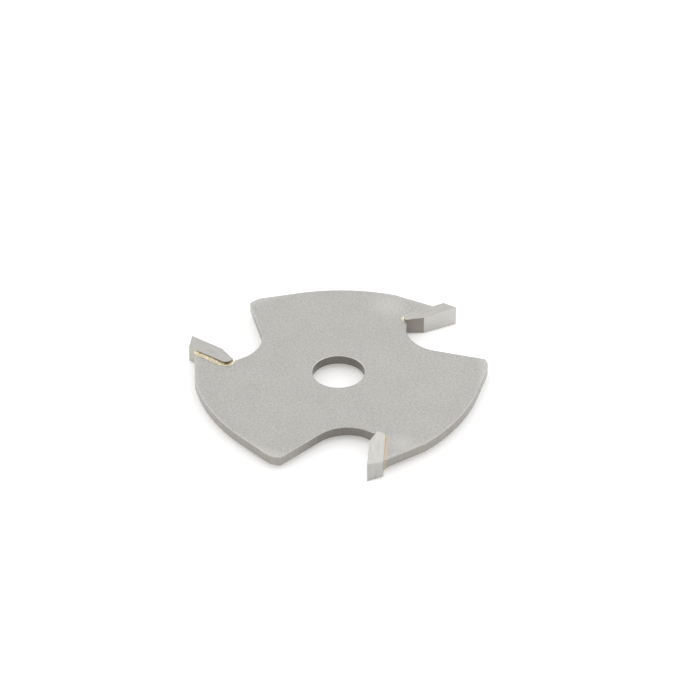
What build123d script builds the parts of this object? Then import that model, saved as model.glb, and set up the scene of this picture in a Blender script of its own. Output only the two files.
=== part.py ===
"""Slotting cutter: a three-wing steel plate with a brazed carbide tip on each wing.

The bore runs along Z and the plate is centred on Z = 0.
The cutting corner of tip 1 lies on the +X axis and the cutter turns clockwise seen from +Z.
"""
import os
from math import cos
from math import radians
from math import sin
from math import tan

from build123d import *

os.makedirs("parts", exist_ok=True)

# Standard sizes, in millimetres and degrees
cutting_diameter = 47.6
slot_width = 3.175
bore_diameter = 7.94
plate_thickness = 1.6
edge_break = 0.1
wing_count = 3

# Carbide tip, seen along the bore
hook_angle = 13.8
end_relief_angle = 10.0
tip_length = 8.3
tip_thickness = 2.3
inner_bevel_length = 2.7
inner_bevel_angle = 20.0
tip_heel_radius = 1.1

# Tip flanks fall away from the cutting corner in both directions
radial_relief_angle = 1.6
rear_relief_angle = 6.0

# Braze seam and the countersunk rim of the tip seat
braze_gap = 0.2
countersink_depth = 0.3
countersink_angle = 45.0
braze_slope_angle = 12.0

# Outline of a wing, measured from the circle swept by the tips
relief_flat_drop = 2.1
relief_flat_angle = 22.9
relief_end_angle = 25.7
trailing_flat_drop = 2.46
trailing_flat_angle = 63.2
trailing_start_angle = 67.2
trailing_round_radius = 3.2
trailing_round_turn = 44.0
trailing_corner_radius = 0.3

# Gullet ahead of each tip: a straight lead from the tip seat, an arc and a straight flank
gullet_radius = 5.95
gullet_lead_length = 2.2
gullet_lead_angle = 147.0
gullet_flank_angle = 33.9

# Working values
cutting_radius = cutting_diameter / 2
half_plate = plate_thickness / 2
half_slot = slot_width / 2
wing_pitch = 360 / wing_count
rake_length = tip_length - inner_bevel_length
heel_step = inner_bevel_length * tan(radians(inner_bevel_angle))
seat_front = heel_step - braze_gap
rim_width = countersink_depth * tan(radians(countersink_angle))
cap_overlap = 2 * braze_gap
cap_rise = (rim_width + cap_overlap) * tan(radians(braze_slope_angle))
clear_length = cutting_radius


def polar(radius, angle):
    """Point at a radius and an angle from +X."""
    return Vector(radius * cos(radians(angle)), radius * sin(radians(angle)))


def on_line(normal_angle, distance, angle):
    """Point at an angle from +X on the line that has this normal and distance."""
    return polar(distance / cos(radians(angle - normal_angle)), angle)


def at_tip(inward, behind):
    """Point measured from the cutting corner of tip 1, along and behind its rake face."""
    corner = Vector(cutting_radius, 0)
    return corner + polar(inward, 180 - hook_angle) + polar(behind, 90 - hook_angle)


def crossing(normal_a, distance_a, normal_b, distance_b):
    """Point where two lines given by normal and distance meet."""
    a = radians(normal_a)
    b = radians(normal_b)
    spread = sin(b - a)
    x = (distance_a * sin(b) - distance_b * sin(a)) / spread
    y = (distance_b * cos(a) - distance_a * cos(b)) / spread
    return Vector(x, y)


# Gullet ahead of tip 1, set out from the inner corner of the tip seat
seat_corner = at_tip(tip_length + braze_gap, heel_step)
lead_end = seat_corner + polar(gullet_lead_length, gullet_lead_angle + 90)
gullet_centre = lead_end - polar(gullet_radius, gullet_lead_angle)
gullet_arc = 180 + gullet_flank_angle - gullet_lead_angle

# The same gullet ahead of tip 2, where it ends wing 1
next_centre = gullet_centre.rotate(Axis.Z, wing_pitch)
flank_angle = wing_pitch + gullet_flank_angle
flank_distance = next_centre.dot(polar(1, flank_angle)) - gullet_radius
flank_start = next_centre - polar(gullet_radius, flank_angle)

# Back of wing 1, from behind the tip round to the trailing corner
relief_distance = cutting_radius - relief_flat_drop
trailing_distance = cutting_radius - trailing_flat_drop
relief_start = on_line(relief_flat_angle, relief_distance, 0)
relief_corner = on_line(relief_flat_angle, relief_distance, relief_end_angle)
trailing_start = on_line(trailing_flat_angle, trailing_distance, trailing_start_angle)
round_drop = trailing_round_radius * (1 - cos(radians(trailing_round_turn)))
round_reach = trailing_round_radius * sin(radians(trailing_round_turn))
trailing_corner = crossing(trailing_flat_angle, trailing_distance - round_drop, flank_angle, flank_distance)
round_rise = polar(round_drop, trailing_flat_angle)
round_run = polar(round_reach, trailing_flat_angle + 90)
round_start = trailing_corner + round_rise - round_run
next_relief_start = relief_start.rotate(Axis.Z, wing_pitch)

# One wing with its share of the hub
with BuildSketch() as wing:
    with BuildLine():
        Polyline((0, 0), relief_start, relief_corner)
        TangentArc(trailing_start, relief_corner, tangent=polar(1, trailing_flat_angle - 90))
        Line(trailing_start, round_start)
        TangentArc(round_start, trailing_corner, tangent=polar(1, trailing_flat_angle + 90))
        Polyline(trailing_corner, flank_start, next_centre, next_relief_start, (0, 0))
    make_face()
    fillet(wing.vertices().sort_by_distance(trailing_corner)[0], trailing_corner_radius)

# One gullet, open to the outside ahead of the tip
with BuildSketch() as gullet:
    with BuildLine():
        floor = CenterArc(gullet_centre, gullet_radius, gullet_lead_angle, gullet_arc)
        Polyline(
            floor @ 1,
            gullet_centre,
            gullet_centre + polar(clear_length, -hook_angle),
            at_tip(-clear_length, heel_step),
            seat_corner,
            floor @ 0,
        )
    make_face()

# Whole outline of the plate before the tip seats are milled
with BuildSketch() as plate_outline:
    with PolarLocations(0, wing_count):
        add(wing.sketch)
    with PolarLocations(0, wing_count):
        add(gullet.sketch, mode=Mode.SUBTRACT)

# Carbide tip 1, with a rake face, a bevelled inner end and a rounded heel
with BuildPart() as tip_form:
    with BuildSketch():
        with BuildLine():
            Polyline(
                at_tip(0, 0),
                at_tip(rake_length, 0),
                at_tip(tip_length, heel_step),
                at_tip(tip_length, tip_thickness),
                at_tip(tip_thickness * tan(radians(hook_angle + end_relief_angle)), tip_thickness),
                close=True,
            )
        tip_face = make_face()
        heel = at_tip(tip_length, tip_thickness)
        fillet(tip_face.vertices().sort_by_distance(heel)[0], tip_heel_radius)
    extrude(amount=half_slot, both=True)
    fall = polar(tan(radians(radial_relief_angle)), 180 - hook_angle)
    fall = fall + polar(tan(radians(rear_relief_angle)), 90 - hook_angle)
    top_flank = Plane(at_tip(0, 0) + Vector(0, 0, half_slot), z_dir=(fall.X, fall.Y, 1))
    low_flank = Plane(at_tip(0, 0) - Vector(0, 0, half_slot), z_dir=(fall.X, fall.Y, -1))
    split(bisect_by=top_flank, keep=Keep.BOTTOM)
    split(bisect_by=low_flank, keep=Keep.BOTTOM)

# Tip seat with its countersunk rims, and the braze caps that rise from them
with BuildPart() as seat_form:
    with BuildSketch() as seat_outline:
        with BuildLine():
            Polyline(
                at_tip(-clear_length, seat_front),
                at_tip(tip_length + braze_gap, seat_front),
                at_tip(tip_length + braze_gap, tip_thickness + braze_gap),
                at_tip(-clear_length, tip_thickness + braze_gap),
                close=True,
            )
        seat_face = make_face()
        seat_heel = at_tip(tip_length + braze_gap, tip_thickness + braze_gap)
        fillet(seat_face.vertices().sort_by_distance(seat_heel)[0], tip_heel_radius + braze_gap)
    extrude(amount=half_plate, both=True)
    with BuildSketch(Plane.XY.offset(half_plate - countersink_depth)):
        add(seat_outline.sketch)
    extrude(amount=countersink_depth, taper=-countersink_angle)
    mirror(about=Plane.XY)

with BuildPart() as braze_blank:
    with BuildSketch(Plane.XY.offset(half_plate + cap_rise)):
        add(seat_outline.sketch)
        offset(amount=-cap_overlap, kind=Kind.INTERSECTION)
    extrude(amount=-cap_rise, taper=braze_slope_angle - 90)
    mirror(about=Plane.XY)
    add(seat_form.part)

# Steel plate, bored and edge-broken before its tip seats are milled
with BuildPart() as cutter_body:
    with BuildSketch():
        add(plate_outline.sketch)
        Circle(bore_diameter / 2, mode=Mode.SUBTRACT)
    extrude(amount=half_plate, both=True)
    chamfer(cutter_body.faces().filter_by(Axis.Z).edges(), edge_break)
    with PolarLocations(0, wing_count):
        add(seat_form.part, mode=Mode.SUBTRACT)

# Braze that fills the seat behind and below tip 1, flush with the edge of the plate
with BuildPart() as seam_form:
    add(braze_blank.part)
    with BuildSketch():
        add(plate_outline.sketch)
    extrude(amount=half_slot, both=True, mode=Mode.INTERSECT)
    add(tip_form.part, mode=Mode.SUBTRACT)

cutter_body.part.label = "cutter_body"
export_step(cutter_body.part, "parts/cutter_body.step")

# Each wing carries the same tip and seam, turned about the bore
for wing_number in range(1, wing_count + 1):
    turn = Rotation(0, 0, (wing_number - 1) * wing_pitch)

    with BuildPart() as carbide_tip:
        with Locations(turn):
            add(tip_form.part)
    carbide_tip.part.label = f"carbide_tip_{wing_number}"
    export_step(carbide_tip.part, f"parts/carbide_tip_{wing_number}.step")

    with BuildPart() as braze_seam:
        with Locations(turn):
            add(seam_form.part)
    braze_seam.part.label = f"braze_seam_{wing_number}"
    export_step(braze_seam.part, f"parts/braze_seam_{wing_number}.step")
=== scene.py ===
# %% [markdown]
# A slotting cutter cuts a narrow groove along the edge of a board. Its steel plate has three wings, each
# wing carries a tip of hard carbide, and brass braze holds the tip in its seat. The solids were drawn in
# CAD, so this lesson starts by loading them. They stay where they are, and every piece below is built
# around them in the same frame, in metres.

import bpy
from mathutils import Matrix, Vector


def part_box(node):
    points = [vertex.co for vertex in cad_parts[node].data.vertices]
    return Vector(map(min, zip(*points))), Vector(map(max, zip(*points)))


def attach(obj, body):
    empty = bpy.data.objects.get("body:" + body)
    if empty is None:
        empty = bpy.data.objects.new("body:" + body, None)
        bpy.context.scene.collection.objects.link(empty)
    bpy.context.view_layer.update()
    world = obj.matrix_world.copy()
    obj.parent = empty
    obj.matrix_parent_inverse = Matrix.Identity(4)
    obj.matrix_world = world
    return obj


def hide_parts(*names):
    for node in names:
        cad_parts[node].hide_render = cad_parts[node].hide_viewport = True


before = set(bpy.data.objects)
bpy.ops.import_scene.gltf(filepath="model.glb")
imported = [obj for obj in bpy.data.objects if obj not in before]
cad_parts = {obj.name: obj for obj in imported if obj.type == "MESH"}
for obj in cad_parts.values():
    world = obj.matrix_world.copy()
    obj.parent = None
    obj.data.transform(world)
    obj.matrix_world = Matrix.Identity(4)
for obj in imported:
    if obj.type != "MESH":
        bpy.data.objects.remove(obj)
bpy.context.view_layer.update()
print("solids:", sorted(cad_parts))

# %% [markdown]
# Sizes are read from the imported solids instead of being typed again. The cutting corner of tip 1 lies on
# the X axis, so the far side of its box is the cutting radius. The tips stand proud of the plate on both
# faces, and the cutter rests on them.

# %% Measure the solids
from math import atan2, copysign, cos, degrees, hypot, pi, radians, sin, tau

import bmesh
import bpy
from mathutils import Matrix, Quaternion, Vector

MM = 0.001
tip_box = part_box("carbide_tip_1")
cutting_radius = tip_box[1].x
half_slot = tip_box[1].z
half_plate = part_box("cutter_body")[1].z
print(f"cutting radius {cutting_radius / MM:.2f} mm, slot {2 * half_slot / MM:.3f} mm")
print(f"plate {2 * half_plate / MM:.2f} mm thick")

# %% [markdown]
# The camera is a long lens well back from the cutter, the way small tools are photographed. It is set by
# how far round, how high and how far away it stands from the top of the bore, and by the spot it aims at.
# The view azimuth turns the whole set, so right and back below mean right and back in the picture.

# %% Camera
view_turn = Matrix.Rotation(radians(-39.84), 3, "Z")
camera_rise = radians(37.03)
camera_reach = 474.1 * MM
camera_roll = radians(-0.21)
aim_right = 0.856 * MM
aim_back = 5.476 * MM
focal_length_mm = 161.4
film_height_mm = 36
bore_top = Vector((0, 0, 0.749 * MM))


def in_view(right, back, up=0.0):
    """Point given by how far right, back and up it lies in the picture, from the top of the bore."""
    return bore_top + view_turn @ Vector((right, back, up))


camera_place = in_view(0, -cos(camera_rise) * camera_reach, sin(camera_rise) * camera_reach)
lens = bpy.data.cameras.new("camera")
lens.sensor_fit = "VERTICAL"
lens.sensor_height = film_height_mm
lens.lens = focal_length_mm
lens.clip_start = 10 * MM
camera = bpy.data.objects.new("camera", lens)
camera.location = camera_place
camera.rotation_mode = "QUATERNION"
level_view = (in_view(aim_right, aim_back) - camera_place).to_track_quat("-Z", "Y")
camera.rotation_quaternion = level_view @ Quaternion((0, 0, 1), camera_roll)
bpy.context.scene.collection.objects.link(camera)
bpy.context.scene.camera = camera
print("camera at", [round(v / MM, 1) for v in camera_place], "mm")

# %% [markdown]
# Three helpers serve every material. Colours are picked as sRGB hex values, but shader sockets work in
# linear light, so one function converts them. Another adds a node, sets its options and fills its
# sockets with plain values or with links from earlier nodes, and the third starts an empty material.
# Sockets that share a name are picked by number: a Map Range takes its value at 0, the range that it
# comes from at 1 and 2 and the one that it goes to at 3 and 4, and a Mix has its two colours at 6 and 7
# or its two numbers at 2 and 3. A noise texture seldom leaves its middle range, so that range is
# stretched where a pattern needs contrast.

# %% Helpers for materials
noise_low = 0.3
noise_high = 0.7


def linear(hex_colour):
    """Linear RGBA from an sRGB hex colour."""
    channels = [int(hex_colour[i:i + 2], 16) / 255 for i in (1, 3, 5)]
    return [c / 12.92 if c <= 0.04045 else ((c + 0.055) / 1.055) ** 2.4 for c in channels] + [1.0]


def add_node(tree, kind, sockets=None, **settings):
    """Add a node, set its options and fill its sockets with values or links."""
    node = tree.nodes.new(kind)
    for name, value in settings.items():
        setattr(node, name, value)
    for key, value in (sockets or {}).items():
        if isinstance(value, bpy.types.NodeSocket):
            tree.links.new(value, node.inputs[key])
        else:
            node.inputs[key].default_value = value
    return node


def new_material(name):
    """An empty material with its output node."""
    material = bpy.data.materials.new(name)
    material.use_nodes = True
    material.node_tree.nodes.clear()
    output = add_node(material.node_tree, "ShaderNodeOutputMaterial")
    return material, material.node_tree, output


print("middle grey in linear light", round(linear("#808080")[0], 3))

# %% [markdown]
# Many places below are given by the tip they belong to: how far inward along its rake face and how far
# behind it. A few helpers turn such a place into a point and back, in millimetres. The rake face leans by
# the hook angle, and wings are counted from 0.

# %% Places by tip
wing_count = 3
hook_angle = radians(13.8)
inward = Vector((-cos(hook_angle), sin(hook_angle), 0))
behind = Vector((sin(hook_angle), cos(hook_angle), 0))
upward = Vector((0, 0, 1))
cutting_corner = Vector((cutting_radius / MM, 0, 0))
middle_of_tip = (4, 1, 0)


def wing_turn(wing):
    """Turn about the bore that takes the first wing to another."""
    return Matrix.Rotation(wing * tau / wing_count, 3, "Z")


def from_tip(wing, inward_mm, behind_mm, up_mm):
    """Point in millimetres from its place on a wing's tip."""
    on_first = cutting_corner + inward * inward_mm + behind * behind_mm + upward * up_mm
    return wing_turn(wing) @ on_first


def to_tip(point):
    """The wing nearest to a point in millimetres, and its place on that wing's tip."""
    nearest = min(range(wing_count), key=lambda wing: (from_tip(wing, *middle_of_tip) - point).length)
    spot = wing_turn(-nearest) @ point - cutting_corner
    return nearest, spot.dot(inward), spot.dot(behind)


print("middle of tip 1 at", [round(v, 2) for v in from_tip(0, *middle_of_tip)], "mm")

# %% [markdown]
# The cutter lies on white paper. The paper is a diffuse white, so it takes the soft shadow under the
# plate. It also glows for the camera, the way an overexposed sheet blows out and thins its shadow, with a
# warm tint that shows where the shadow is deep. Mirrored in the metal it glows only a little, so that the
# walls above it stay dark enough.

# %% Paper floor
floor_height = -half_slot
floor_reach = 3.0
glow_in_metal = 0.08
more_for_camera = 0.235
paper, tree, output = new_material("white_paper")
rays = add_node(tree, "ShaderNodeLightPath").outputs
seen = add_node(
    tree, "ShaderNodeMath", {0: rays["Is Camera Ray"], 1: rays["Is Glossy Ray"]}, operation="MAXIMUM"
).outputs[0]
seen = add_node(
    tree, "ShaderNodeMath", {0: seen, 1: rays["Is Transmission Ray"]}, operation="MAXIMUM"
).outputs[0]
nothing = add_node(tree, "ShaderNodeEmission", {"Strength": 0.0}).outputs[0]
sheet = add_node(tree, "ShaderNodeBsdfDiffuse", {"Color": linear("#F2F3F6")}).outputs[0]
glow_level = add_node(
    tree, "ShaderNodeMath", {0: rays["Is Camera Ray"], 1: more_for_camera, 2: glow_in_metal},
    operation="MULTIPLY_ADD",
).outputs[0]
glow = add_node(
    tree, "ShaderNodeEmission", {"Color": linear("#FFFBF3"), "Strength": glow_level}
).outputs[0]
seen_glow = add_node(tree, "ShaderNodeMixShader", {0: seen, 1: nothing, 2: glow}).outputs[0]
whole = add_node(tree, "ShaderNodeAddShader", {0: sheet, 1: seen_glow}).outputs[0]
tree.links.new(whole, output.inputs["Surface"])

corners = [(-1, -1), (1, -1), (1, 1), (-1, 1)]
spread_corners = [(x * floor_reach, y * floor_reach, floor_height) for x, y in corners]
floor_mesh = bpy.data.meshes.new("paper_floor")
floor_mesh.from_pydata(spread_corners, [], [(0, 1, 2, 3)])
floor_mesh.materials.append(paper)
floor = bpy.data.objects.new("paper_floor", floor_mesh)
bpy.context.scene.collection.objects.link(floor)
print(f"paper at {floor_height / MM:.4f} mm, where the tips touch it")

# %% [markdown]
# The light is a white tent. Metal shows what it mirrors, so the tent's brightness follows the direction
# in which a ray looks. A world reads that direction from its Generated coordinate, and dot products tell
# how far to the right, to the front and up it points.

# %% Directions in the tent
world = bpy.data.worlds.new("light_tent")
world.use_nodes = True
tree = world.node_tree
tree.nodes.clear()
to_right = view_turn @ Vector((1, 0, 0))
to_front = view_turn @ Vector((0, -1, 0))
looking = add_node(tree, "ShaderNodeTexCoord").outputs["Generated"]
height = add_node(tree, "ShaderNodeSeparateXYZ", {"Vector": looking}).outputs["Z"]
rightness = add_node(
    tree, "ShaderNodeVectorMath", {0: looking, 1: to_right}, operation="DOT_PRODUCT"
).outputs["Value"]
frontness = add_node(
    tree, "ShaderNodeVectorMath", {0: looking, 1: to_front}, operation="DOT_PRODUCT"
).outputs["Value"]
print("the open side of the tent lies towards", [round(v, 2) for v in to_front])

# %% [markdown]
# The roof is even, the walls to the left and right are brighter near the ground, and the side where the
# camera looks in is open and darker. The bright sides light the rims and wash out the shadows there, and
# the open side darkens the walls that face the camera. The sides have a limit, so that a ground top which
# mirrors one of them doesn't burn out. Behind the cutter the camera itself sees plain white.

# %% Light tent
roof_strength = 0.94
side_gain = 1.5
brightest = 1.4
open_share = 0.42
opening_starts = 0.6
opening_whole = 0.95
sideness = add_node(tree, "ShaderNodeMath", {0: rightness, 1: rightness}, operation="MULTIPLY").outputs[0]
lowness = add_node(tree, "ShaderNodeMath", {0: 1.0, 1: height}, operation="SUBTRACT").outputs[0]
low_sides = add_node(tree, "ShaderNodeMath", {0: sideness, 1: lowness}, operation="MULTIPLY").outputs[0]
walls = add_node(
    tree, "ShaderNodeMath", {0: low_sides, 1: side_gain, 2: roof_strength}, operation="MULTIPLY_ADD"
).outputs[0]
walls = add_node(tree, "ShaderNodeMath", {0: walls, 1: brightest}, operation="MINIMUM").outputs[0]
share = add_node(
    tree, "ShaderNodeMapRange",
    {0: frontness, 1: opening_starts, 2: opening_whole, 3: 1.0, 4: open_share},
    interpolation_type="SMOOTHSTEP",
).outputs[0]
tent_level = add_node(tree, "ShaderNodeMath", {0: walls, 1: share}, operation="MULTIPLY").outputs[0]
white = linear("#FFFFFF")
tent = add_node(tree, "ShaderNodeBackground", {"Color": white, "Strength": tent_level}).outputs[0]
backdrop = add_node(tree, "ShaderNodeBackground", {"Color": white, "Strength": 1.0}).outputs[0]
ray = add_node(tree, "ShaderNodeLightPath").outputs["Is Camera Ray"]
shown = add_node(tree, "ShaderNodeMixShader", {0: ray, 1: tent, 2: backdrop}).outputs[0]
add_node(tree, "ShaderNodeOutputWorld", {"Surface": shown})
bpy.context.scene.world = world
bpy.context.scene.view_settings.view_transform = "Standard"
print(f"roof {roof_strength}, sides up to {brightest}, open side {open_share} of that")

# %% [markdown]
# One soft lamp stands behind the cutter, a little to the right. It is weak beside the tent. The ground
# tops of the tips lean in different directions, so the lamp brightens the one that leans its way and sets
# the three apart.

# %% Soft lamp
lamp_distance = 0.9
lamp_size = 0.3
lamp_rise = radians(36)
lamp_bearing = radians(15)
lamp_radiance = 0.5
soft_light = bpy.data.lights.new("soft_lamp", "AREA")
soft_light.shape = "DISK"
soft_light.size = lamp_size
soft_light.energy = lamp_radiance * pi * pi * (lamp_size / 2) ** 2
soft_lamp = bpy.data.objects.new("soft_lamp", soft_light)
level = cos(lamp_rise)
toward_lamp = Vector((level * sin(lamp_bearing), level * cos(lamp_bearing), sin(lamp_rise)))
soft_lamp.location = in_view(*(toward_lamp * lamp_distance))
soft_lamp.rotation_euler = (view_turn @ toward_lamp).to_track_quat("Z", "Y").to_euler()
soft_lamp.visible_camera = False
bpy.context.scene.collection.objects.link(soft_lamp)
print(f"soft lamp of {soft_light.energy:.2f} W")

# %% [markdown]
# The plate is tool steel, blasted to a fine even matte. Close up that is a skin of tiny dents, which
# scatters the light and leaves a faint mottle. Blasting grit is finer than a pixel of the picture, so the
# grain is drawn a little coarser than it is.

# %% Grain of the blasted steel
grain_width = 0.28 * MM
mottle_width = 5.0 * MM
blasted_steel, tree, output = new_material("blasted_tool_steel")
place = add_node(tree, "ShaderNodeTexCoord").outputs["Object"]
grain = add_node(
    tree, "ShaderNodeTexNoise",
    {"Vector": place, "Scale": 1 / grain_width, "Detail": 4.0, "Roughness": 0.6},
).outputs["Fac"]
mottle = add_node(
    tree, "ShaderNodeTexNoise",
    {"Vector": place, "Scale": 1 / mottle_width, "Detail": 3.0, "Roughness": 0.55},
).outputs["Fac"]
spread_grain = add_node(tree, "ShaderNodeMapRange", {0: grain, 1: noise_low, 2: noise_high}).outputs[0]
fleck = add_node(
    tree, "ShaderNodeMix",
    {"Factor": spread_grain, 6: linear("#B5B4B0"), 7: linear("#D5D3CF")}, data_type="RGBA",
).outputs[2]
mottle_shade = add_node(
    tree, "ShaderNodeMix",
    {"Factor": mottle, 6: linear("#F1F1F1"), 7: linear("#FFFFFF")}, data_type="RGBA",
).outputs[2]
steel_colour = add_node(
    tree, "ShaderNodeMix", {"Factor": 1.0, 6: fleck, 7: mottle_shade},
    data_type="RGBA", blend_type="MULTIPLY",
).outputs[2]
print(f"blasted grain {grain_width / MM:.2f} mm wide")

# %% [markdown]
# The plate isn't even all over. Behind two of the tips the wheel that dressed the braze has left the
# steel smoother and lighter. The arbor has polished the edge of the bore bright, and the faces are lighter
# close to the outer rim; both are partly wear and partly a painted highlight, where the rounded edges catch
# the light. A leaning face tells the broken edges from the flat faces, so one reading of the normal picks
# which of the two applies.

# %% Wear and painted highlights of the blasted steel
# Inward place, place behind the rake and reach of each dressed spot, in millimetres
dressed_spots = {0: (8.7, 6.2, 4.6), 2: (6.2, 4.8, 3.0)}
dressed_share = 0.3
flat_normal = 0.98
leaning_normal = 0.85
bore_wear_and_highlight = 0.5
bore_wear_and_highlight_starts = 6.0 * MM
bore_wear_and_highlight_whole = 4.5 * MM
rim_wear_and_highlight = 0.42
rim_wear_and_highlight_starts = 20.9 * MM
rim_wear_and_highlight_whole = 22.6 * MM
for wing, (inward_mm, behind_mm, reach_mm) in dressed_spots.items():
    centre = from_tip(wing, inward_mm, behind_mm, half_plate / MM) * MM
    away = add_node(
        tree, "ShaderNodeVectorMath", {0: place, 1: centre}, operation="DISTANCE"
    ).outputs["Value"]
    rub = add_node(
        tree, "ShaderNodeMapRange", {0: away, 1: reach_mm * MM, 2: 0.0, 3: 0.0, 4: dressed_share},
        interpolation_type="SMOOTHSTEP",
    ).outputs[0]
    steel_colour = add_node(
        tree, "ShaderNodeMix", {"Factor": rub, 6: steel_colour, 7: linear("#E6E2DC")}, data_type="RGBA"
    ).outputs[2]
facing = add_node(tree, "ShaderNodeNewGeometry").outputs["Normal"]
flatness = add_node(tree, "ShaderNodeSeparateXYZ", {"Vector": facing}).outputs["Z"]
flatness = add_node(tree, "ShaderNodeMath", {0: flatness}, operation="ABSOLUTE").outputs[0]
on_edge = add_node(tree, "ShaderNodeMapRange", {0: flatness, 1: flat_normal, 2: leaning_normal}).outputs[0]
from_bore = add_node(tree, "ShaderNodeVectorMath", {0: place}, operation="LENGTH").outputs["Value"]
in_bore = add_node(
    tree, "ShaderNodeMapRange",
    {0: from_bore, 1: bore_wear_and_highlight_whole, 2: bore_wear_and_highlight_starts, 3: bore_wear_and_highlight, 4: 0.0},
).outputs[0]
at_rim = add_node(
    tree, "ShaderNodeMapRange", {0: from_bore, 1: rim_wear_and_highlight_starts, 2: rim_wear_and_highlight_whole, 4: rim_wear_and_highlight}
).outputs[0]
# Partly wear, partly painted highlight: broken edges by the bore and flat faces by the outer rim are
# lightened.
lightened = add_node(tree, "ShaderNodeMix", {0: on_edge, 2: at_rim, 3: in_bore}).outputs[0]
steel_colour = add_node(
    tree, "ShaderNodeMix", {"Factor": lightened, 6: steel_colour, 7: linear("#E2E0DC")}, data_type="RGBA"
).outputs[2]
print(f"bore edge worn by {bore_wear_and_highlight:.0%}, outer rim by {rim_wear_and_highlight:.0%}")

# %% [markdown]
# The dents go into the bump as well as the colour, and they make the steel a little rougher or smoother
# from one grain to the next. Steel is a metal, so its colour is what it mirrors, and its roughness is what
# makes it matte.

# %% Blasted tool steel
dent_depth = 0.012 * MM
roughness = add_node(tree, "ShaderNodeMapRange", {0: grain, 3: 0.46, 4: 0.58}).outputs[0]
dents = add_node(
    tree, "ShaderNodeBump", {"Height": grain, "Strength": 0.5, "Distance": dent_depth}
).outputs["Normal"]
skin = add_node(
    tree, "ShaderNodeBsdfPrincipled",
    {"Base Color": steel_colour, "Metallic": 1.0, "Roughness": roughness, "Normal": dents},
)
tree.links.new(skin.outputs[0], output.inputs["Surface"])
print(f"blasted dents {dent_depth / MM:.3f} mm deep")

# %% [markdown]
# The wall of the plate was cut, not blasted. It carries faint upright marks from the cut, so its noise is
# stretched along Z, and the marks are drawn a little wider than real ones, which would be too fine to
# show. The wall is painted darker around the bore and deep in the gullets, a painted shade for those
# hollows and the shadowed paper that they mirror, and lighter further out, a painted reflection of the
# bright paper. A film of oil is left on it. The shader's coat stands for that film, and it shines
# where the wall is seen at a low angle.

# %% Cut steel wall
cut_mark_width = 0.3 * MM
cut_mark_length = 2.5 * MM
cut_mark_depth = 0.006 * MM
painted_shade_reach = 12.5 * MM
painted_reflection_reach = 20.0 * MM
cut_steel, tree, output = new_material("cut_tool_steel")
place = add_node(tree, "ShaderNodeTexCoord").outputs["Object"]
across = (1 / cut_mark_width, 1 / cut_mark_width, 1 / cut_mark_length)
stretched = add_node(
    tree, "ShaderNodeVectorMath", {0: place, 1: across}, operation="MULTIPLY"
).outputs[0]
marks = add_node(
    tree, "ShaderNodeTexNoise", {"Vector": stretched, "Scale": 1.0, "Detail": 2.0}
).outputs["Fac"]
flat_place = add_node(
    tree, "ShaderNodeVectorMath", {0: place, 1: (1, 1, 0)}, operation="MULTIPLY"
).outputs[0]
reach = add_node(tree, "ShaderNodeVectorMath", {0: flat_place}, operation="LENGTH").outputs["Value"]
# Painted shade and painted reflection: the wall is darker towards the bore and lighter further out.
shade_to_reflection = add_node(tree, "ShaderNodeMapRange", {0: reach, 1: painted_shade_reach, 2: painted_reflection_reach}).outputs[0]
painted_wall_colour = add_node(
    tree, "ShaderNodeMix", {"Factor": shade_to_reflection, 6: linear("#827C75"), 7: linear("#B5AFA7")}, data_type="RGBA"
).outputs[2]
mark_shade = add_node(
    tree, "ShaderNodeMix", {"Factor": marks, 6: linear("#D8D8D8"), 7: linear("#FFFFFF")}, data_type="RGBA"
).outputs[2]
cut_colour = add_node(
    tree, "ShaderNodeMix", {"Factor": 1.0, 6: painted_wall_colour, 7: mark_shade},
    data_type="RGBA", blend_type="MULTIPLY",
).outputs[2]
ridges = add_node(
    tree, "ShaderNodeBump", {"Height": marks, "Strength": 0.4, "Distance": cut_mark_depth}
).outputs["Normal"]
skin = add_node(
    tree, "ShaderNodeBsdfPrincipled",
    {
        "Base Color": cut_colour, "Metallic": 1.0, "Roughness": 0.32, "Normal": ridges,
        "Coat Weight": 1.0, "Coat Roughness": 0.25,
    },
)
tree.links.new(skin.outputs[0], output.inputs["Surface"])
print(f"cut marks {cut_mark_width / MM:.1f} mm wide and {cut_mark_length / MM:.1f} mm long")

# %% [markdown]
# Tungsten carbide is ground with a diamond wheel on its cutting faces. That leaves fine parallel lines,
# and a few cross marks near the cutting corner where the wheel dwelt. The lines follow each face, so they
# are read from a UV map in millimetres that is made with the tip. Real lines are finer than a pixel, so
# these are drawn as coarse as they need to be to show.

# %% Grinding lines
line_spacing_mm = 0.2
line_length_mm = 3.0
dwell_spacing_mm = 0.55
dwell_reach_mm = 2.8
dwell_whole_mm = 0.6 * dwell_reach_mm
dwell_share = 0.6
ground_carbide, tree, output = new_material("ground_tungsten_carbide")
on_face = add_node(tree, "ShaderNodeUVMap", uv_map="grinding").outputs["UV"]
along = (1 / line_length_mm, 1 / line_spacing_mm, 1.0)
upright = (1 / dwell_spacing_mm, 1 / line_length_mm, 1.0)
on_lines = add_node(tree, "ShaderNodeVectorMath", {0: on_face, 1: along}, operation="MULTIPLY").outputs[0]
on_dwell = add_node(tree, "ShaderNodeVectorMath", {0: on_face, 1: upright}, operation="MULTIPLY").outputs[0]
lines = add_node(
    tree, "ShaderNodeTexNoise", {"Vector": on_lines, "Scale": 1.0, "Detail": 5.0, "Roughness": 0.6}
).outputs["Fac"]
dwell = add_node(
    tree, "ShaderNodeTexNoise", {"Vector": on_dwell, "Scale": 1.0, "Detail": 2.0}
).outputs["Fac"]
inward_place = add_node(tree, "ShaderNodeSeparateXYZ", {"Vector": on_face}).outputs["X"]
near_corner = add_node(
    tree, "ShaderNodeMapRange",
    {0: inward_place, 1: dwell_whole_mm, 2: dwell_reach_mm, 3: dwell_share, 4: 0.0},
).outputs[0]
scored = add_node(tree, "ShaderNodeMix", {0: near_corner, 2: lines, 3: dwell}).outputs[0]
print(f"grinding lines every {line_spacing_mm} mm")
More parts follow.
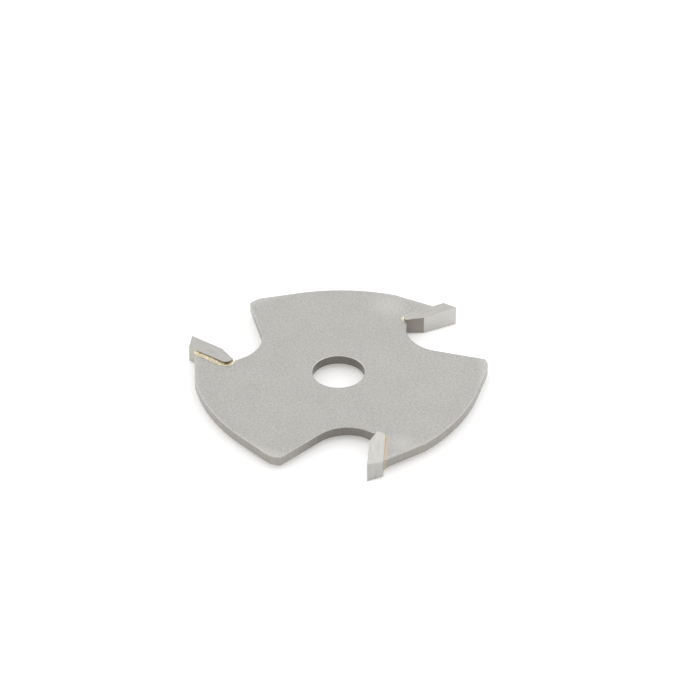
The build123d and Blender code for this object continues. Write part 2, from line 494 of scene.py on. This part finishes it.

# %% [markdown]
# Ground carbide is a bright metal with a satin shine. The rake face is painted lighter than the flanks,
# a painted reflection of the bright paper that it mirrors. It is the face where the place behind the rake
# is zero, which a second UV map tells.

# %% Ground carbide
scratch_depth = 0.006 * MM
rake_reflection_depth_mm = 0.02
rake_reflection_share = 0.5
spread_scoring = add_node(tree, "ShaderNodeMapRange", {0: scored, 1: noise_low, 2: noise_high}).outputs[0]
ground_colour = add_node(
    tree, "ShaderNodeMix",
    {"Factor": spread_scoring, 6: linear("#B9B7B2"), 7: linear("#D1CFCA")}, data_type="RGBA",
).outputs[2]
on_tip_map = add_node(tree, "ShaderNodeUVMap", uv_map="place_on_tip").outputs["UV"]
behind_rake = add_node(tree, "ShaderNodeSeparateXYZ", {"Vector": on_tip_map}).outputs["Y"]
# Painted reflection: the rake face is mixed towards a lighter colour.
rake_reflection = add_node(
    tree, "ShaderNodeMapRange", {0: behind_rake, 1: rake_reflection_depth_mm, 2: 0.0, 4: rake_reflection_share}
).outputs[0]
ground_colour = add_node(
    tree, "ShaderNodeMix", {"Factor": rake_reflection, 6: ground_colour, 7: linear("#E4E1DA")}, data_type="RGBA"
).outputs[2]
ground_roughness = add_node(tree, "ShaderNodeMapRange", {0: scored, 3: 0.26, 4: 0.36}).outputs[0]
scratches = add_node(
    tree, "ShaderNodeBump", {"Height": scored, "Strength": 0.4, "Distance": scratch_depth}
).outputs["Normal"]
skin = add_node(
    tree, "ShaderNodeBsdfPrincipled",
    {"Base Color": ground_colour, "Metallic": 1.0, "Roughness": ground_roughness, "Normal": scratches},
)
tree.links.new(skin.outputs[0], output.inputs["Surface"])
print(f"grinding scratches {scratch_depth / MM:.3f} mm deep")

# %% [markdown]
# The other faces of a tip are left as they came from the sintering furnace: grey, even and slightly
# grainy, with a grain drawn coarse enough to show. They are darker and browner in the corner by the heel,
# and the wheel has cleaned the part that stands outside the plate. The second UV map tells the material
# where on the tip it is.

# %% Sintered carbide
sinter_grain = 0.3 * MM
pit_depth = 0.006 * MM
# Inward place and place behind the rake, in millimetres
brown_starts = (3.0, 1.1)
brown_whole = (8.0, 1.8)
clean_starts_mm = 3.2
clean_whole_mm = 2.2
sintered_carbide, tree, output = new_material("sintered_tungsten_carbide")
place = add_node(tree, "ShaderNodeTexCoord").outputs["Object"]
grain = add_node(
    tree, "ShaderNodeTexNoise", {"Vector": place, "Scale": 1 / sinter_grain, "Detail": 2.0}
).outputs["Fac"]
sintered_colour = add_node(
    tree, "ShaderNodeMix", {"Factor": grain, 6: linear("#9F9891"), 7: linear("#AEA7A0")}, data_type="RGBA"
).outputs[2]
on_tip_map = add_node(tree, "ShaderNodeUVMap", uv_map="place_on_tip").outputs["UV"]
tip_place = add_node(tree, "ShaderNodeSeparateXYZ", {"Vector": on_tip_map}).outputs
deep = add_node(
    tree, "ShaderNodeMapRange", {0: tip_place["X"], 1: brown_starts[0], 2: brown_whole[0]}
).outputs[0]
back = add_node(
    tree, "ShaderNodeMapRange", {0: tip_place["Y"], 1: brown_starts[1], 2: brown_whole[1]}
).outputs[0]
browned = add_node(tree, "ShaderNodeMath", {0: deep, 1: back}, operation="MULTIPLY").outputs[0]
with_brown = add_node(
    tree, "ShaderNodeMix", {"Factor": browned, 6: sintered_colour, 7: linear("#7E735F")}, data_type="RGBA"
).outputs[2]
cleaned = add_node(
    tree, "ShaderNodeMapRange", {0: tip_place["X"], 1: clean_starts_mm, 2: clean_whole_mm}
).outputs[0]
sintered_colour = add_node(
    tree, "ShaderNodeMix", {"Factor": cleaned, 6: with_brown, 7: linear("#CBC8BF")}, data_type="RGBA"
).outputs[2]
pits = add_node(
    tree, "ShaderNodeBump", {"Height": grain, "Strength": 0.4, "Distance": pit_depth}
).outputs["Normal"]
skin = add_node(
    tree, "ShaderNodeBsdfPrincipled",
    {"Base Color": sintered_colour, "Metallic": 1.0, "Roughness": 0.45, "Normal": pits},
)
tree.links.new(skin.outputs[0], output.inputs["Surface"])
print(f"sintered grain {sinter_grain / MM:.1f} mm wide")

# %% [markdown]
# Braze is a brass and silver alloy that ran in molten and froze. It is pale and smooth on its swells,
# yellower where the brass shows and stained brown in its hollows, where flux sat.

# %% Swells and stains of the braze
swell_width = 0.45 * MM
stain_width = 0.8 * MM
swell_low = 0.35
swell_high = 0.65
stain_starts = 0.56
stain_whole = 0.72
brass_braze, tree, output = new_material("brass_braze")
place = add_node(tree, "ShaderNodeTexCoord").outputs["Object"]
swells = add_node(
    tree, "ShaderNodeTexNoise", {"Vector": place, "Scale": 1 / swell_width, "Detail": 2.0}
).outputs["Fac"]
stains = add_node(
    tree, "ShaderNodeTexNoise", {"Vector": place, "Scale": 1 / stain_width, "Detail": 3.0}
).outputs["Fac"]
spread_swells = add_node(tree, "ShaderNodeMapRange", {0: swells, 1: swell_low, 2: swell_high}).outputs[0]
bright = add_node(
    tree, "ShaderNodeMix",
    {"Factor": spread_swells, 6: linear("#CFC097"), 7: linear("#F6EFDC")}, data_type="RGBA",
).outputs[2]
stained = add_node(tree, "ShaderNodeMapRange", {0: stains, 1: stain_starts, 2: stain_whole}).outputs[0]
with_stains = add_node(
    tree, "ShaderNodeMix", {"Factor": stained, 6: bright, 7: linear("#A08D66")}, data_type="RGBA"
).outputs[2]
print(f"braze swells {swell_width / MM:.2f} mm wide")

# %% [markdown]
# No two joints were cleaned alike. The seam behind the first tip was wiped pale, and the third one is
# left dull and tan. The distance from the middle of each of those seams decides where its colour goes, so
# one material serves all three.

# %% Brass braze
wiped_middle = from_tip(0, 5.2, 2.7, 0.8) * MM
wiped_starts = 2.9 * MM
wiped_whole = 2.2 * MM
wiped_share = 0.85
dull_middle = from_tip(2, 4.5, 2.5, 0) * MM
dull_starts = 8.0 * MM
dull_whole = 6.0 * MM
ripple_depth = 0.02 * MM
from_wiped = add_node(
    tree, "ShaderNodeVectorMath", {0: place, 1: wiped_middle}, operation="DISTANCE"
).outputs["Value"]
wiped = add_node(
    tree, "ShaderNodeMapRange", {0: from_wiped, 1: wiped_starts, 2: wiped_whole, 4: wiped_share}
).outputs[0]
from_dull = add_node(
    tree, "ShaderNodeVectorMath", {0: place, 1: dull_middle}, operation="DISTANCE"
).outputs["Value"]
dulled = add_node(tree, "ShaderNodeMapRange", {0: from_dull, 1: dull_starts, 2: dull_whole}).outputs[0]
with_wiped = add_node(
    tree, "ShaderNodeMix", {"Factor": wiped, 6: with_stains, 7: linear("#D2D0C9")}, data_type="RGBA"
).outputs[2]
braze_colour = add_node(
    tree, "ShaderNodeMix", {"Factor": dulled, 6: with_wiped, 7: linear("#D0C4B2")}, data_type="RGBA"
).outputs[2]
braze_roughness = add_node(tree, "ShaderNodeMapRange", {0: dulled, 3: 0.36, 4: 0.6}).outputs[0]
ripples = add_node(
    tree, "ShaderNodeBump", {"Height": swells, "Strength": 0.5, "Distance": ripple_depth}
).outputs["Normal"]
skin = add_node(
    tree, "ShaderNodeBsdfPrincipled",
    {"Base Color": braze_colour, "Metallic": 1.0, "Roughness": braze_roughness, "Normal": ripples},
)
tree.links.new(skin.outputs[0], output.inputs["Surface"])
print("dull seam around", [round(v / MM, 1) for v in dull_middle], "mm")

# %% [markdown]
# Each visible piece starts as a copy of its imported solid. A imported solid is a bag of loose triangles, so
# the copy is welded and its flat faces are joined up. The work is done in millimetres, where Blender's
# merge distances make sense, and scaled back to metres at the end.

# %% Helpers for copies
weld_distance_mm = 0.001
flat_angle = radians(0.5)


def rescale(mesh, factor):
    """Scale a bmesh about the origin."""
    bmesh.ops.scale(mesh, vec=Vector((factor, factor, factor)), verts=mesh.verts)


def welded_copy(node):
    """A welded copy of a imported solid, in millimetres."""
    mesh = bmesh.new()
    mesh.from_mesh(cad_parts[node].data)
    rescale(mesh, 1 / MM)
    bmesh.ops.remove_doubles(mesh, verts=mesh.verts, dist=weld_distance_mm)
    bmesh.ops.dissolve_limit(mesh, angle_limit=flat_angle, verts=mesh.verts, edges=mesh.edges)
    return mesh


def to_object(mesh, name, unit=MM):
    """Write a millimetre bmesh to a new object in metres, or in another unit."""
    rescale(mesh, unit)
    data = bpy.data.meshes.new(name)
    mesh.to_mesh(data)
    mesh.free()
    made = bpy.data.objects.new(name, data)
    bpy.context.scene.collection.objects.link(made)
    return made


print("copies are welded at", weld_distance_mm, "mm")

# %% [markdown]
# Sharp edges are found by the angle between their faces. A bevel with an even, round profile softens
# them. Smooth shading with sharp edges marked, and normals weighed by area, then keep the flat faces flat.
# The last helper makes an object's modifiers part of its mesh, so that a later step can work on the result.

# %% Helpers for edges and shading


def edges_sharper_than(mesh, limit):
    """Edges where two faces meet at more than a limit in degrees."""
    return [edge for edge in mesh.edges if edge.is_manifold and edge.calc_face_angle() > radians(limit)]


def soften(mesh, edges, width):
    """Round edges over a width in millimetres."""
    bmesh.ops.bevel(
        mesh, geom=edges, offset=width, offset_type="OFFSET", segments=3, profile=0.5, affect="EDGES",
        clamp_overlap=True,
    )


def shade_smooth(mesh, sharp_limit):
    """Shade smooth, except across edges sharper than a limit in degrees."""
    for face in mesh.faces:
        face.smooth = True
    for edge in edges_sharper_than(mesh, sharp_limit):
        edge.smooth = False


def keep_flat(made):
    """Weigh normals by face area, so that flat faces stay flat beside their round edges."""
    weigh = made.modifiers.new("keep_flat", "WEIGHTED_NORMAL")
    weigh.weight = 100
    weigh.keep_sharp = True


def settle(made):
    """Make an object's modifiers part of its mesh."""
    graph = bpy.context.evaluated_depsgraph_get()
    result = made.evaluated_get(graph)
    plain = bpy.data.meshes.new_from_object(result, preserve_all_data_layers=True, depsgraph=graph)
    made.modifiers.clear()
    made.data = plain
    plain.name = made.name
    return made


print("edge helpers ready")

# %% [markdown]
# Each seat was milled a little wider than its tip. The back of a tip is flat and runs into a round heel,
# so the clear space beside it is measured straight out from the flat, or out from the middle of the heel's
# round. The same measure gives the direction that leads away from the tip.

# %% Space beside a tip
tip_length_mm = 8.3
tip_thickness_mm = 2.3
heel_radius_mm = 1.1
heel_middle = (tip_length_mm - heel_radius_mm, tip_thickness_mm - heel_radius_mm)


def smooth_step(value, low, high):
    """Rise from 0 to 1 between two values, with soft ends."""
    share = min(max((value - low) / (high - low), 0), 1)
    return share * share * (3 - 2 * share)


def past_heel_middle(inward_mm, behind_mm):
    """How far past the middle of the heel's round a place lies, inward and behind."""
    return max(inward_mm - heel_middle[0], 0), max(behind_mm - heel_middle[1], 0)


def clear_of_tip(inward_mm, behind_mm):
    """How far a place lies off the back or heel of a tip, and how far round the heel, in degrees."""
    past, above = past_heel_middle(inward_mm, behind_mm)
    return hypot(past, above) - heel_radius_mm, degrees(atan2(above, past))


def away_from_tip(wing, inward_mm, behind_mm):
    """Direction that leads straight away from the back or heel of a wing's tip."""
    past, above = past_heel_middle(inward_mm, behind_mm)
    return wing_turn(wing) @ (inward * past + behind * above).normalized()


print("heel of a tip has a radius of", heel_radius_mm, "mm")

# %% [markdown]
# A tip was pushed into the inner end of its seat before it was brazed. So the gap all but closes there
# and opens along the heel to its full width at the back. How much of it closes, and how far round the
# heel, differs from wing to wing.

# %% Fit of each tip in its seat
touching_mm = 0.02
seat_reach_mm = 0.56
# One value for each wing
closed_share = (0.9, 0.3, 0.9)
opening_degrees = (45, 25, 80)


def push_to_tip(mesh):
    """Close the gap at the inner end of each tip by moving a mesh's points towards it."""
    moved = 0
    for vert in mesh.verts:
        wing, inward_mm, behind_mm = to_tip(vert.co)
        gap, round_heel = clear_of_tip(inward_mm, behind_mm)
        at_inner_end = inward_mm >= heel_middle[0] and behind_mm >= 0
        if at_inner_end and touching_mm < gap < seat_reach_mm:
            closed = closed_share[wing] * (1 - smooth_step(round_heel, 0, opening_degrees[wing]))
            vert.co -= away_from_tip(wing, inward_mm, behind_mm) * gap * closed
            moved += 1
    return moved


print("gap stays closed round the heel for", opening_degrees, "degrees")

# %% [markdown]
# The plate keeps its outline. Its broken edges are flat chamfers in the solid, and tumbling rounds them
# on the real one, so both borders of each chamfer are rounded. The walls get the cut finish, and the two
# faces and their chamfers the blasted one. Weighted normals keep the big faces looking flat.

# %% Steel plate
edge_softness_mm = 0.035
chamfer_turn = 30
sharp_turn = 40
wall_lean = 0.3
plate_mesh = welded_copy("cutter_body")
soften(plate_mesh, edges_sharper_than(plate_mesh, chamfer_turn), edge_softness_mm)
print("plate points pushed to the tips:", push_to_tip(plate_mesh))
shade_smooth(plate_mesh, sharp_turn)
for face in plate_mesh.faces:
    face.material_index = 1 if abs(face.normal.z) < wall_lean else 0
plate = to_object(plate_mesh, "cutter_plate")
plate.data.materials.append(blasted_steel)
plate.data.materials.append(cut_steel)
keep_flat(plate)
settle(plate)
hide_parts("cutter_body")
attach(plate, "root")
print("plate faces:", len(plate.data.polygons))

# %% [markdown]
# A tip is ground on its top and bottom flanks, its rake face and its outer end, and the edges between
# those faces are left sharp. The other edges are slightly honed. Two UV maps go with the tip: one runs
# along the grinding lines of each face, and one tells how far inward and behind each point lies.

# %% One carbide tip
hone_mm = 0.03
hone_turn = 15
mostly = 0.7
squarely = 0.98


def is_ground(face):
    """Whether a face of tip 1 was ground after brazing."""
    on_flank = abs(face.normal.z) > mostly
    on_rake = face.normal.dot(behind) < -squarely
    on_end = face.normal.dot(inward) < -mostly
    return on_flank or on_rake or on_end


def touches_unground(edge):
    """Whether an edge of tip 1 borders a face that was not ground."""
    return not all(is_ground(face) for face in edge.link_faces)


tip_mesh = welded_copy("carbide_tip_1")
honed = [edge for edge in edges_sharper_than(tip_mesh, hone_turn) if touches_unground(edge)]
soften(tip_mesh, honed, hone_mm)
shade_smooth(tip_mesh, sharp_turn)
grinding = tip_mesh.loops.layers.uv.new("grinding")
place_on_tip = tip_mesh.loops.layers.uv.new("place_on_tip")
for face in tip_mesh.faces:
    face.material_index = 0 if is_ground(face) else 1
    across_face = behind if abs(face.normal.z) > mostly else upward
    along_face = behind if face.normal.dot(inward) < -mostly else inward
    for loop in face.loops:
        spot = loop.vert.co - cutting_corner
        loop[grinding].uv = (spot.dot(along_face), spot.dot(across_face))
        loop[place_on_tip].uv = (spot.dot(inward), spot.dot(behind))
tip = to_object(tip_mesh, "carbide_tips")
keep_flat(tip)
settle(tip)
print("tip faces:", len(tip.data.polygons))

# %% [markdown]
# The braze fills the seat behind each tip. Frozen metal has no crisp edges, so the copy is remeshed into
# small even cells and relaxed, which rounds the fillet and leaves it fine enough to ripple. The remesh
# can't make cells this small in metres, so the copy stays in millimetres until it is done.

# %% One braze seam
cell_mm = 0.05
relax_factor = 0.5
relax_passes = 3
seam = to_object(welded_copy("braze_seam_1"), "braze_seams", unit=1)
cells = seam.modifiers.new("cells", "REMESH")
cells.mode = "VOXEL"
cells.voxel_size = cell_mm
cells.use_smooth_shade = True
relax = seam.modifiers.new("relax", "SMOOTH")
relax.factor = relax_factor
relax.iterations = relax_passes
settle(seam)
seam.data.transform(Matrix.Scale(MM, 4))
print("seam faces:", len(seam.data.polygons))

# %% [markdown]
# The three wings carry the same tip and the same seam, so Geometry Nodes repeats them round the bore. A
# point is made for each wing, the piece is placed on each point and turned, and the copies are made real.

# %% Repeat round the bore


def start_tree(name, inputs):
    """A Geometry Nodes tree with a geometry input, named size inputs and a geometry output."""
    tree = bpy.data.node_groups.new(name, "GeometryNodeTree")
    tree.interface.new_socket("Geometry", in_out="INPUT", socket_type="NodeSocketGeometry")
    for title, kind in inputs.items():
        tree.interface.new_socket(title, in_out="INPUT", socket_type=kind)
    tree.interface.new_socket("Geometry", in_out="OUTPUT", socket_type="NodeSocketGeometry")
    return tree, add_node(tree, "NodeGroupInput").outputs, add_node(tree, "NodeGroupOutput").inputs


def repeat_round_bore(tree, piece, wings):
    """Copies of a piece spaced evenly round Z, made real."""
    points = add_node(tree, "GeometryNodePoints", {"Count": wings}).outputs[0]
    number = add_node(tree, "GeometryNodeInputIndex").outputs[0]
    pitch = add_node(tree, "ShaderNodeMath", {0: tau, 1: wings}, operation="DIVIDE").outputs[0]
    turn = add_node(tree, "ShaderNodeMath", {0: number, 1: pitch}, operation="MULTIPLY").outputs[0]
    turned = add_node(tree, "ShaderNodeCombineXYZ", {"Z": turn}).outputs[0]
    copies = add_node(
        tree, "GeometryNodeInstanceOnPoints", {"Points": points, "Instance": piece, "Rotation": turned}
    ).outputs[0]
    return add_node(tree, "GeometryNodeRealizeInstances", {"Geometry": copies}).outputs[0]


def run_tree(made, tree, values):
    """Run a tree on an object with its inputs set by name, and keep the plain result."""
    nodes = made.modifiers.new(tree.name, "NODES")
    nodes.node_group = tree
    for item in tree.interface.items_tree:
        if item.name in values:
            nodes[item.identifier] = values[item.name]
    return settle(made)


print("turning each copy by", 360 / wing_count, "degrees")

# %% [markdown]
# The tips keep two finishes, so the tree sets the ground one everywhere and then the sintered one where
# the face was marked with material index 1.

# %% Three carbide tips
tree, given, result = start_tree("tips_round_bore", {"Wings": "NodeSocketInt"})
ring = repeat_round_bore(tree, given["Geometry"], given["Wings"])
index = add_node(tree, "GeometryNodeInputMaterialIndex").outputs[0]
dark_faces = add_node(
    tree, "FunctionNodeCompare", {2: index, 3: 1}, data_type="INT", operation="EQUAL"
).outputs[0]
marked = add_node(
    tree, "GeometryNodeStoreNamedAttribute", {"Geometry": ring, "Name": "as_sintered", "Value": dark_faces},
    data_type="BOOLEAN", domain="FACE",
).outputs[0]
all_ground = add_node(
    tree, "GeometryNodeSetMaterial", {"Geometry": marked, "Material": ground_carbide}
).outputs[0]
was_dark = add_node(
    tree, "GeometryNodeInputNamedAttribute", {"Name": "as_sintered"}, data_type="BOOLEAN"
).outputs[0]
two_finishes = add_node(
    tree, "GeometryNodeSetMaterial",
    {"Geometry": all_ground, "Selection": was_dark, "Material": sintered_carbide},
).outputs[0]
tree.links.new(two_finishes, result["Geometry"])
tip.data.materials.append(ground_carbide)
tip.data.materials.append(sintered_carbide)
run_tree(tip, tree, {"Wings": wing_count})
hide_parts("carbide_tip_1", "carbide_tip_2", "carbide_tip_3")
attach(tip, "root")
print("tips:", len(tip.data.polygons), "faces,", [m.name for m in tip.data.materials])

# %% [markdown]
# No two seams froze alike. After the copies are made real, each point moves along its normal by a noise
# that reads its place, so every seam gets its own ripples.

# %% Three braze seams
ripple_width = 0.45 * MM
ripple_height = 0.1 * MM
ripple_seed = 4.0
tree, given, result = start_tree(
    "seams_round_bore",
    {
        "Wings": "NodeSocketInt",
        "Ripple width": "NodeSocketFloat",
        "Ripple height": "NodeSocketFloat",
        "Seed": "NodeSocketFloat",
    },
)
ring = repeat_round_bore(tree, given["Geometry"], given["Wings"])
where = add_node(tree, "GeometryNodeInputPosition").outputs[0]
fineness = add_node(
    tree, "ShaderNodeMath", {0: 1.0, 1: given["Ripple width"]}, operation="DIVIDE"
).outputs[0]
noise = add_node(
    tree, "ShaderNodeTexNoise", {"Vector": where, "W": given["Seed"], "Scale": fineness, "Detail": 2.0},
    noise_dimensions="4D",
).outputs["Fac"]
centred = add_node(tree, "ShaderNodeMath", {0: noise, 1: 0.5}, operation="SUBTRACT").outputs[0]
swelling = add_node(
    tree, "ShaderNodeMath", {0: centred, 1: given["Ripple height"]}, operation="MULTIPLY"
).outputs[0]
out = add_node(tree, "GeometryNodeInputNormal").outputs[0]
push = add_node(tree, "ShaderNodeVectorMath", {0: out, "Scale": swelling}, operation="SCALE").outputs[0]
rippled = add_node(tree, "GeometryNodeSetPosition", {"Geometry": ring, "Offset": push}).outputs[0]
brazed = add_node(
    tree, "GeometryNodeSetMaterial", {"Geometry": rippled, "Material": brass_braze}
).outputs[0]
tree.links.new(brazed, result["Geometry"])
seam_sizes = {
    "Wings": wing_count,
    "Ripple width": ripple_width,
    "Ripple height": ripple_height,
    "Seed": ripple_seed,
}
run_tree(seam, tree, seam_sizes)
print("seams:", len(seam.data.polygons), "faces")

# %% [markdown]
# Near the upper and lower surface the braze doesn't lie flat. It climbs on the back of the tip towards
# the outer end, where the most of it was fed in, and behind the first tip it has sunk near the inner end.
# At the heel of the second tip it spilled over the steel. Each rule gives a height or a width that fades
# out smoothly.

# %% Rise and spill of the braze
surface_band_mm = (0.3, 0.75)
climb_mm = 0.14
climb_width_mm = 0.3
climb_to_sink_mm = (4.0, 8.4)
# One value for each wing
sink_mm = (-0.1, 0.0, 0.0)
spill_mm = (0.0, 0.16, 0.0)
spill_lift = 0.3
spill_along_mm = (5.0, 7.2)
spill_round_degrees = (5, 50)
spill_gap_mm = (0.1, 0.45)


def rise_at(wing, inward_mm, gap):
    """How much higher the braze stands against the tip than in the solid."""
    inner_share = smooth_step(inward_mm, *climb_to_sink_mm)
    rise = climb_mm + (sink_mm[wing] - climb_mm) * inner_share
    return rise * (1 - smooth_step(gap, 0, climb_width_mm))


def spill_at(wing, inward_mm, gap, round_heel):
    """How far the braze spilled outward over the steel."""
    at_heel = smooth_step(inward_mm, *spill_along_mm) * smooth_step(round_heel, *spill_round_degrees)
    return spill_mm[wing] * at_heel * smooth_step(gap, *spill_gap_mm)


print(f"braze climbs {climb_mm} mm and spills {max(spill_mm)} mm")

# %% [markdown]
# The seam was made of small cells, which would show as steps along the joint. So its sides are pushed a
# little into the steel and the carbide, out of sight, and what still shows is smoothed. The gap at the
# inner end closes for the braze as it did for the plate, so this comes last.

# %% Braze in the gap
bury_in_steel_mm = 0.08
bury_in_tip_mm = 0.17
seam_mesh = bmesh.new()
seam_mesh.from_mesh(seam.data)
rescale(seam_mesh, 1 / MM)
seam_mesh.normal_update()
for vert in seam_mesh.verts:
    wing, inward_mm, behind_mm = to_tip(vert.co)
    gap, round_heel = clear_of_tip(inward_mm, behind_mm)
    outward = away_from_tip(wing, inward_mm, behind_mm)
    near_surface = smooth_step(abs(vert.co.z), *surface_band_mm)
    rise = rise_at(wing, inward_mm, gap) * near_surface
    spill = spill_at(wing, inward_mm, gap, round_heel) * near_surface
    faces_steel = vert.normal.dot(outward)
    bury = faces_steel * (bury_in_steel_mm if faces_steel > 0 else bury_in_tip_mm)
    vert.co.z += copysign(1, vert.co.z) * (rise + spill_lift * spill)
    vert.co += outward * (bury + spill)
for _ in range(relax_passes):
    bmesh.ops.smooth_vert(
        seam_mesh, verts=seam_mesh.verts, factor=relax_factor, use_axis_x=True, use_axis_y=True,
        use_axis_z=True,
    )
print("seam points pushed to the tips:", push_to_tip(seam_mesh))
rescale(seam_mesh, MM)
seam_mesh.to_mesh(seam.data)
seam_mesh.free()
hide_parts("braze_seam_1", "braze_seam_2", "braze_seam_3")
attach(seam, "root")
